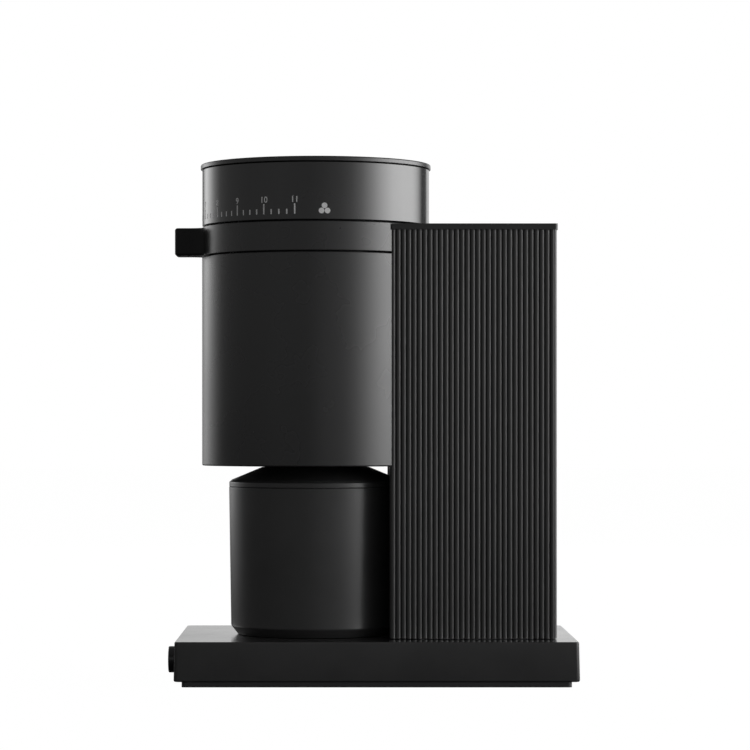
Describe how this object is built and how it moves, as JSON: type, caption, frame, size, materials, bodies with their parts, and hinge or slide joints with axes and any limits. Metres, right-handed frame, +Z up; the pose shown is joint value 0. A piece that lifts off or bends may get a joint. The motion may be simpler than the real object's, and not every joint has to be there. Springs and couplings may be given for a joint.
{
  "type": "electric burr coffee grinder",
  "caption": "Upright electric conical-burr coffee grinder with a flat base, ribbed motor tower, numbered grind ring, lidded bean hopper and removable catch cup.",
  "frame": {"origin": "centre of the bounding box at the height of the table under the feet", "axes": "+Z up along the grinding axis, front with button and grind tab towards -Y, ribbed tower towards +Y, +X to the right of someone standing in front of the machine and facing it"},
  "size_m": [0.13, 0.2082, 0.268],
  "materials": {
    "black_gloss": "polished black plastic",
    "black_steel": "black powder coat",
    "foot_rubber": "matt rubber",
    "zinc_screw": "zinc plated",
    "black_rubber": "matt rubber",
    "circuit_board": "solder mask",
    "black_component": "moulded",
    "button_black": "polished",
    "wire_jacket": "soft insulation",
    "ribbed_black": "satin moulded ribs",
    "black_satin": "satin",
    "cast_aluminium": "as cast",
    "zinc_steel": "drawn and zinc plated",
    "ferrite": "sintered",
    "sintered_bronze": "sintered",
    "ground_steel": "ground",
    "copper_winding": "wound and varnished",
    "gear_brass": "cut",
    "gear_nylon": "moulded",
    "dark_steel": "blackened",
    "belt_rubber": "reinforced rubber",
    "burr_steel": "hardened and ground",
    "body_black": "semi-gloss",
    "tab_black": "semi-gloss",
    "smoke_plastic": "polished smoke tint",
    "lid_black": "semi-gloss",
    "cup_black": "satin gloss"
  },
  "bodies": {
    "stand": {"base_housing": "black_gloss", "base_plate": "black_steel", "feet": "foot_rubber", "base_screws": "zinc_screw", "cord_gland": "black_rubber", "control_board": "circuit_board", "board_components": "black_component", "power_switch": "black_component", "motor_wires": "wire_jacket", "tower_shell": "ribbed_black", "tower_cap": "black_satin", "tower_front_panel": "black_satin", "chassis": "cast_aluminium", "chassis_screws": "zinc_screw", "gear_case": "cast_aluminium", "gear_cover": "cast_aluminium", "gear_cover_screws": "zinc_screw", "motor_can": "zinc_steel", "motor_endbell": "black_component", "motor_magnets": "ferrite", "motor_bearings": "sintered_bronze", "motor_screws": "zinc_screw", "idler_axle": "ground_steel", "drive_belt": "belt_rubber", "shaft_bearings": "ground_steel", "burr_housing": "cast_aluminium", "housing_screws": "zinc_screw", "grounds_chute": "black_satin", "body_shell": "body_black", "body_bottom_cover": "black_satin", "body_screws": "zinc_screw", "hopper_collar": "black_satin", "collar_screws": "zinc_screw", "click_ball": "ground_steel", "click_spring": "zinc_screw"},
    "button": {"power_button": "button_black"},
    "adjuster": {"adjust_ring": "body_black", "adjust_tab": "tab_black"},
    "burr_lift": {"burr_carrier": "black_satin", "outer_burr": "burr_steel", "carrier_screws": "zinc_screw"},
    "burr_drive": {"burr_shaft": "ground_steel", "inner_burr": "burr_steel", "sweeper": "ground_steel", "burr_nut": "zinc_screw", "burr_pulley": "dark_steel"},
    "idler": {"idler_gear": "gear_nylon", "idler_pulley": "dark_steel"},
    "motor_rotor": {"motor_shaft": "ground_steel", "motor_armature": "copper_winding", "motor_pinion": "gear_brass"},
    "hopper": {"hopper_drum": "body_black", "hopper_funnel": "smoke_plastic"},
    "hopper_lid": {"lid": "lid_black", "lid_seal": "black_rubber"},
    "cup": {"cup_body": "cup_black", "cup_lid": "cup_black", "cup_seal": "black_rubber", "cup_foot": "foot_rubber"}
  },
  "joints": [
    {"name": "button_press", "type": "slide", "parent": "stand", "child": "button", "axis": [0, 1, 0], "range_m": [0, 0.0018], "stiffness_N_per_m": 600, "springref_m": -0.002},
    {"name": "grind_ring_turn", "type": "hinge", "parent": "stand", "child": "adjuster", "pos_m": [0, -0.02955, 0], "axis": [0, 0, 1], "range_deg": [-80, 80]},
    {"name": "burr_gap", "type": "slide", "parent": "stand", "child": "burr_lift", "axis": [0, 0, 1], "range_m": [-0.0006, 0.0006]},
    {"name": "burr_spin", "type": "hinge", "parent": "stand", "child": "burr_drive", "pos_m": [0, -0.02955, 0], "axis": [0, 0, 1], "continuous": true},
    {"name": "idler_spin", "type": "hinge", "parent": "stand", "child": "idler", "pos_m": [0, 0.02295, 0], "axis": [0, 0, 1], "continuous": true},
    {"name": "motor_spin", "type": "hinge", "parent": "stand", "child": "motor_rotor", "pos_m": [0, 0.04695, 0], "axis": [0, 0, 1], "continuous": true},
    {"name": "hopper_lift", "type": "slide", "parent": "stand", "child": "hopper", "axis": [0, 0, 1], "range_m": [0, 0.08]},
    {"name": "lid_lift", "type": "slide", "parent": "hopper", "child": "hopper_lid", "axis": [0, 0, 1], "range_m": [0, 0.04]},
    {"name": "cup_slide", "type": "slide", "parent": "stand", "child": "cup", "axis": [0, -1, 0], "range_m": [0, 0.13]}
  ],
  "couplings": [
    {"joint": "burr_gap", "follows": "grind_ring_turn", "m_per_rad": -0.00042972},
    {"joint": "idler_spin", "follows": "burr_spin", "ratio": 2},
    {"joint": "motor_spin", "follows": "burr_spin", "ratio": -8}
  ]
}
